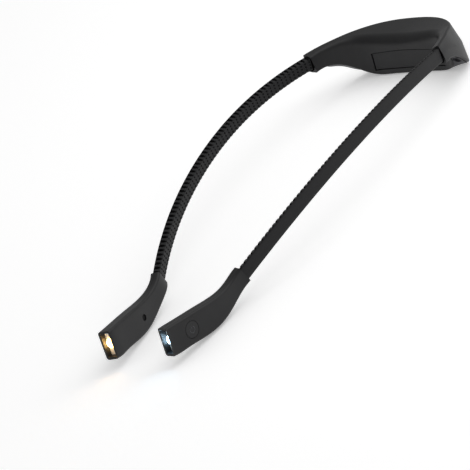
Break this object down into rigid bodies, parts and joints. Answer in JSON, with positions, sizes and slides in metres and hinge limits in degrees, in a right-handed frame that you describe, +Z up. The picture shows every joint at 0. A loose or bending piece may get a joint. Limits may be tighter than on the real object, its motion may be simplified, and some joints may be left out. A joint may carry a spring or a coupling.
{
  "type": "neck reading light",
  "caption": "Neck-worn reading light: a curved battery housing, two bendable slotted rubber arms and two angled lamp heads with push buttons.",
  "frame": {"origin": "on the ground under the middle of the housing's ring at the rear centre line, in the plane of the housing's flat underside", "axes": "+Z up as worn and as it rests, +Y to the wearer's back, -Y to the lamp heads, +X to the wearer's left"},
  "size_m": [0.1272, 0.3567, 0.0424],
  "materials": {
    "housing_plastic": "moulded with a fine even texture",
    "cover_plastic": "moulded with a fine even texture",
    "sleeve_rubber": "moulded silicone rubber",
    "core_metal": "annealed drawn wire",
    "ferrule_metal": "turned",
    "button_plastic": "moulded with a fine even texture",
    "cell_wrap": "shrink film",
    "board_laminate": "solder mask over glass laminate",
    "socket_steel": "stamped and plated",
    "tongue_plastic": "moulded",
    "screw_steel": "zinc plated",
    "reflector_white": "bright moulded cup",
    "lens_clear": "clear moulded acrylic",
    "emitter_phosphor": "phosphor under clear gel",
    "switch_metal": "stamped dome cover"
  },
  "bodies": {
    "root": {"housing_shell": "housing_plastic", "bottom_cover": "cover_plastic", "battery_door": "housing_plastic", "battery_cell": "cell_wrap", "control_board": "board_laminate", "charging_socket": "socket_steel", "socket_tongue": "tongue_plastic", "housing_screws": "screw_steel", "left_arm_anchor": "ferrule_metal", "left_sleeve_1": "sleeve_rubber", "left_core_1": "core_metal", "right_arm_anchor": "ferrule_metal", "right_sleeve_1": "sleeve_rubber", "right_core_1": "core_metal"},
    "left_arm_2": {"left_sleeve_2": "sleeve_rubber", "left_core_2": "core_metal"},
    "left_arm_3": {"left_sleeve_3": "sleeve_rubber", "left_core_3": "core_metal"},
    "left_arm_4": {"left_sleeve_4": "sleeve_rubber", "left_core_4": "core_metal"},
    "left_arm_5": {"left_sleeve_5": "sleeve_rubber", "left_core_5": "core_metal"},
    "left_arm_6": {"left_sleeve_6": "sleeve_rubber", "left_core_6": "core_metal"},
    "left_arm_7": {"left_sleeve_7": "sleeve_rubber", "left_core_7": "core_metal", "left_head_outer_half": "housing_plastic", "left_head_inner_half": "housing_plastic", "left_head_screw": "screw_steel", "left_switch_board": "board_laminate", "left_dome_switch": "switch_metal", "left_lamp_board": "board_laminate", "left_emitter": "emitter_phosphor", "left_reflector": "reflector_white", "left_lens": "lens_clear"},
    "left_button_cap": {"left_button": "button_plastic"},
    "right_arm_2": {"right_sleeve_2": "sleeve_rubber", "right_core_2": "core_metal"},
    "right_arm_3": {"right_sleeve_3": "sleeve_rubber", "right_core_3": "core_metal"},
    "right_arm_4": {"right_sleeve_4": "sleeve_rubber", "right_core_4": "core_metal"},
    "right_arm_5": {"right_sleeve_5": "sleeve_rubber", "right_core_5": "core_metal"},
    "right_arm_6": {"right_sleeve_6": "sleeve_rubber", "right_core_6": "core_metal"},
    "right_arm_7": {"right_sleeve_7": "sleeve_rubber", "right_core_7": "core_metal", "right_head_outer_half": "housing_plastic", "right_head_inner_half": "housing_plastic", "right_head_screw": "screw_steel", "right_switch_board": "board_laminate", "right_dome_switch": "switch_metal", "right_lamp_board": "board_laminate", "right_emitter": "emitter_phosphor", "right_reflector": "reflector_white", "right_lens": "lens_clear"},
    "right_button_cap": {"right_button": "button_plastic"}
  },
  "joints": [
    {"name": "left_bend_1_sideways", "type": "hinge", "parent": "root", "child": "left_arm_2", "pos_m": [0.058, -0.067, 0.03289], "axis": [-0.0251, 0.1398, 0.9899], "range_deg": [-7, 20]},
    {"name": "left_bend_2_up_down", "type": "hinge", "parent": "left_arm_2", "child": "left_arm_3", "pos_m": [0.06089, -0.10508, 0.03669], "axis": [0.9993, 0.0328, 0.0168], "range_deg": [-12, 12]},
    {"name": "left_bend_3_sideways", "type": "hinge", "parent": "left_arm_3", "child": "left_arm_4", "pos_m": [0.06064, -0.13962, 0.03726], "axis": [-0.0192, -0.0215, 0.9996], "range_deg": [-9, 20]},
    {"name": "left_bend_4_up_down", "type": "hinge", "parent": "left_arm_4", "child": "left_arm_5", "pos_m": [0.05735, -0.17779, 0.03491], "axis": [0.9919, -0.1265, 0.0133], "range_deg": [-12, 12]},
    {"name": "left_bend_5_sideways", "type": "hinge", "parent": "left_arm_5", "child": "left_arm_6", "pos_m": [0.05109, -0.21527, 0.02957], "axis": [-0.0383, -0.1729, 0.9842], "range_deg": [-14, 20]},
    {"name": "left_bend_6_up_down", "type": "hinge", "parent": "left_arm_6", "child": "left_arm_7", "pos_m": [0.04194, -0.25163, 0.02133], "axis": [0.9598, -0.2804, -0.015], "range_deg": [-12, 12]},
    {"name": "left_button_press", "type": "slide", "parent": "left_arm_7", "child": "left_button_cap", "axis": [-0.9898, 0.1426, 0], "range_m": [0, 0.0004], "stiffness_N_per_m": 800},
    {"name": "right_bend_1_sideways", "type": "hinge", "parent": "root", "child": "right_arm_2", "pos_m": [-0.058, -0.067, 0.03289], "axis": [0.0251, 0.1398, 0.9899], "range_deg": [-20, 7]},
    {"name": "right_bend_2_up_down", "type": "hinge", "parent": "right_arm_2", "child": "right_arm_3", "pos_m": [-0.06089, -0.10508, 0.03669], "axis": [0.9993, -0.0328, -0.0168], "range_deg": [-12, 12]},
    {"name": "right_bend_3_sideways", "type": "hinge", "parent": "right_arm_3", "child": "right_arm_4", "pos_m": [-0.06064, -0.13962, 0.03726], "axis": [0.0192, -0.0215, 0.9996], "range_deg": [-20, 9]},
    {"name": "right_bend_4_up_down", "type": "hinge", "parent": "right_arm_4", "child": "right_arm_5", "pos_m": [-0.05735, -0.17779, 0.03491], "axis": [0.9919, 0.1265, -0.0133], "range_deg": [-12, 12]},
    {"name": "right_bend_5_sideways", "type": "hinge", "parent": "right_arm_5", "child": "right_arm_6", "pos_m": [-0.05109, -0.21527, 0.02957], "axis": [0.0383, -0.1729, 0.9842], "range_deg": [-20, 14]},
    {"name": "right_bend_6_up_down", "type": "hinge", "parent": "right_arm_6", "child": "right_arm_7", "pos_m": [-0.04194, -0.25163, 0.02133], "axis": [0.9598, 0.2804, 0.015], "range_deg": [-12, 12]},
    {"name": "right_button_press", "type": "slide", "parent": "right_arm_7", "child": "right_button_cap", "axis": [0.9898, 0.1426, 0], "range_m": [0, 0.0004], "stiffness_N_per_m": 800}
  ]
}
